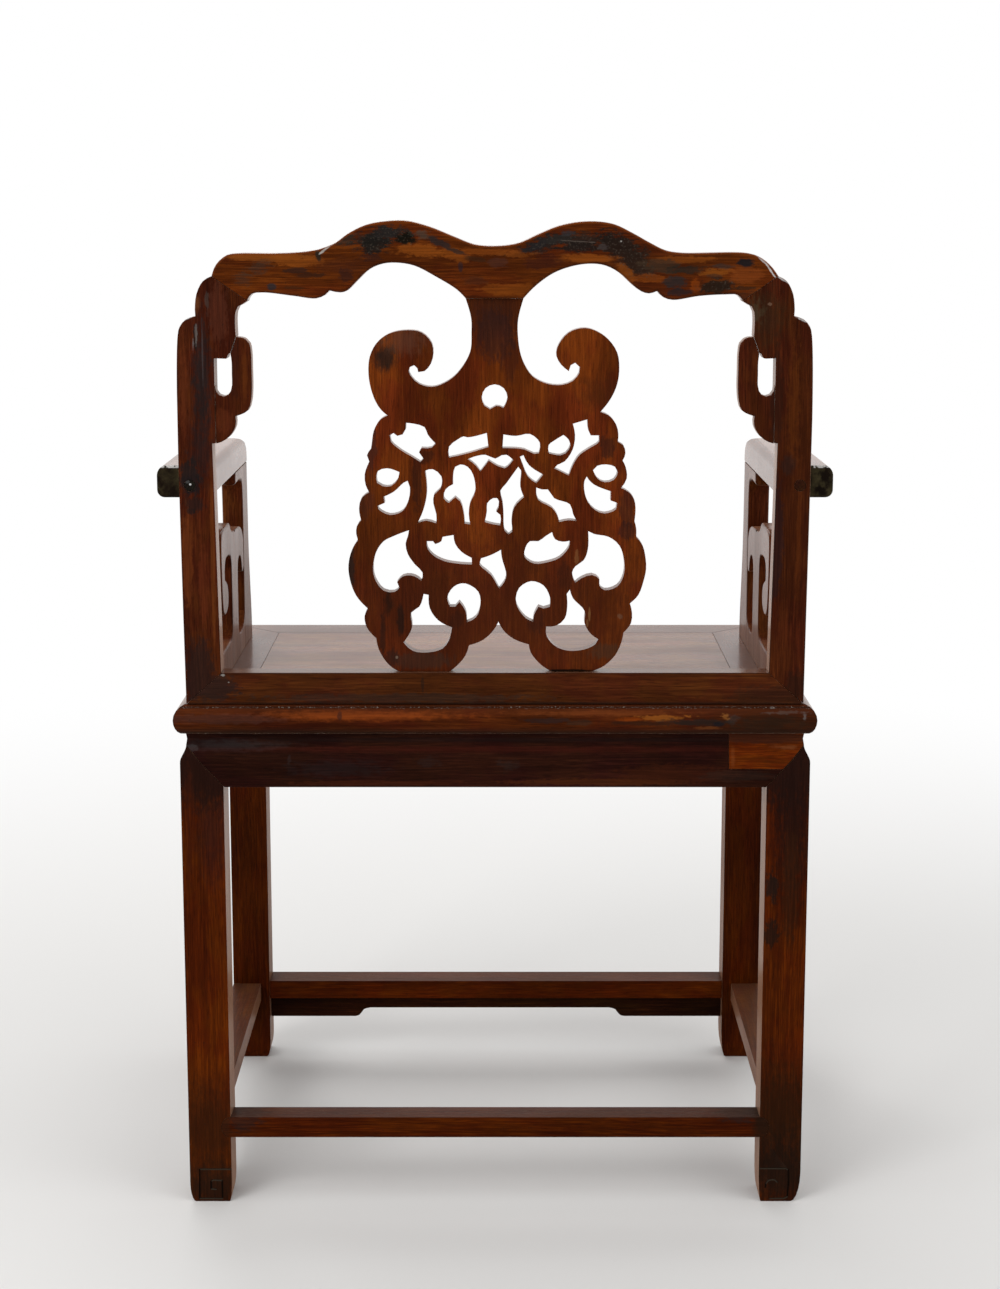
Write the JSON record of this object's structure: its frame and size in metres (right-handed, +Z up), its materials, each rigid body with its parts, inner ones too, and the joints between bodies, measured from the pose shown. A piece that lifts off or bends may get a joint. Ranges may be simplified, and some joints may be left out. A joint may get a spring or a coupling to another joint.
{
  "type": "armchair",
  "caption": "Rosewood armchair with a pierced scroll splat, humped crest rail, fretwork arms, waisted aprons and low stretchers, for one person to sit in.",
  "frame": {"origin": "on the floor, under the middle of the chair", "axes": "+Z up, +Y towards the chair's back, so the sitter faces -Y; +X is the sitter's left"},
  "size_m": [0.637, 0.46, 0.9516],
  "materials": {
    "rosewood": "worn satin lacquer over dark red-brown rosewood",
    "repair_wood": "satin lacquer over a redder piece of the same wood",
    "plug_wood": "nearly black end grain"
  },
  "bodies": {
    "root": {"leg_rear_left": "rosewood", "leg_rear_right": "rosewood", "leg_front_left": "rosewood", "leg_front_right": "rosewood", "apron_rear": "rosewood", "apron_front": "rosewood", "apron_left": "rosewood", "apron_right": "rosewood", "waist_repair_patch": "repair_wood", "stretcher_rear": "rosewood", "stretcher_front": "rosewood", "stretcher_left": "rosewood", "stretcher_right": "rosewood", "stretcher_apron_front": "rosewood", "stretcher_apron_left": "rosewood", "stretcher_apron_right": "rosewood", "seat_frame_front": "rosewood", "seat_frame_rear": "rosewood", "seat_frame_left": "rosewood", "seat_frame_right": "rosewood", "seat_panel": "rosewood", "seat_batten_left": "rosewood", "seat_batten_right": "rosewood", "back_bottom_rail": "rosewood", "back_post_left": "rosewood", "back_post_right": "rosewood", "post_bracket_left": "rosewood", "post_bracket_right": "rosewood", "crest_rail": "rosewood", "splat": "rosewood", "arm_rail_left": "rosewood", "arm_rail_right": "rosewood", "arm_front_post_left": "rosewood", "arm_front_post_right": "rosewood", "arm_fret_rear_left": "rosewood", "arm_fret_rear_right": "rosewood", "arm_fret_front_left": "rosewood", "arm_fret_front_right": "rosewood", "arm_peg_left": "plug_wood", "arm_peg_right": "plug_wood"}
  },
  "joints": []
}
